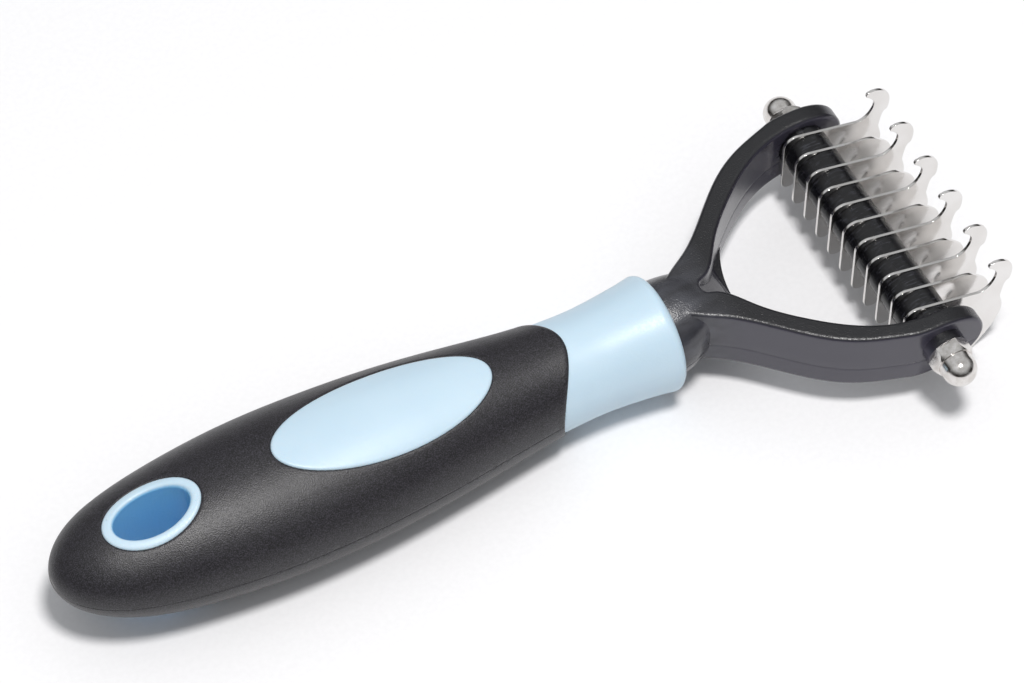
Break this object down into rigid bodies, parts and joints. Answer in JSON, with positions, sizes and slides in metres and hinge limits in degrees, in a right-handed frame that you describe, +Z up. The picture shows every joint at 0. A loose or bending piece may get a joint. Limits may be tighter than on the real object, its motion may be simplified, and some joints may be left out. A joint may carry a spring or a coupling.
{
  "type": "undercoat rake",
  "caption": "Double-sided pet grooming rake: hooked and plain steel blades clamped on a cross rod between the arms of a fork, with a moulded two-colour handle.",
  "frame": {"origin": "on the surface the rake lies on, under the middle of its length and width; the handle's middle plane is 1.1 mm to the left of it, at y = 1.1 mm, because the right nut stands further out", "axes": "+X from the butt of the handle to the blades, +Y to the left, +Z up, out of the face with the thumb pad"},
  "size_m": [0.1966, 0.0784, 0.0283],
  "materials": {
    "handle_plastic": "pale blue, smooth satin",
    "grip_rubber": "black, fine grain",
    "fork_plastic": "black, satin",
    "stud_steel": "zinc plated",
    "nut_steel": "bright",
    "blade_steel": "polished stainless",
    "spacer_plastic": "black, glossy"
  },
  "bodies": {
    "root": {"handle_core": "handle_plastic", "grip_sleeve": "grip_rubber", "fork": "fork_plastic", "cross_rod": "stud_steel", "cap_nut_left": "nut_steel", "cap_nut_right": "nut_steel", "hook_blade_1": "blade_steel", "hook_blade_2": "blade_steel", "hook_blade_3": "blade_steel", "hook_blade_4": "blade_steel", "hook_blade_5": "blade_steel", "hook_blade_6": "blade_steel", "plain_blade_1": "blade_steel", "plain_blade_2": "blade_steel", "plain_blade_3": "blade_steel", "plain_blade_4": "blade_steel", "plain_blade_5": "blade_steel", "spacer_1": "spacer_plastic", "spacer_2": "spacer_plastic", "spacer_3": "spacer_plastic", "spacer_4": "spacer_plastic", "spacer_5": "spacer_plastic", "spacer_6": "spacer_plastic", "spacer_7": "spacer_plastic", "spacer_8": "spacer_plastic", "spacer_9": "spacer_plastic", "spacer_10": "spacer_plastic", "end_spacer_left": "spacer_plastic", "end_spacer_right": "spacer_plastic"}
  },
  "joints": []
}
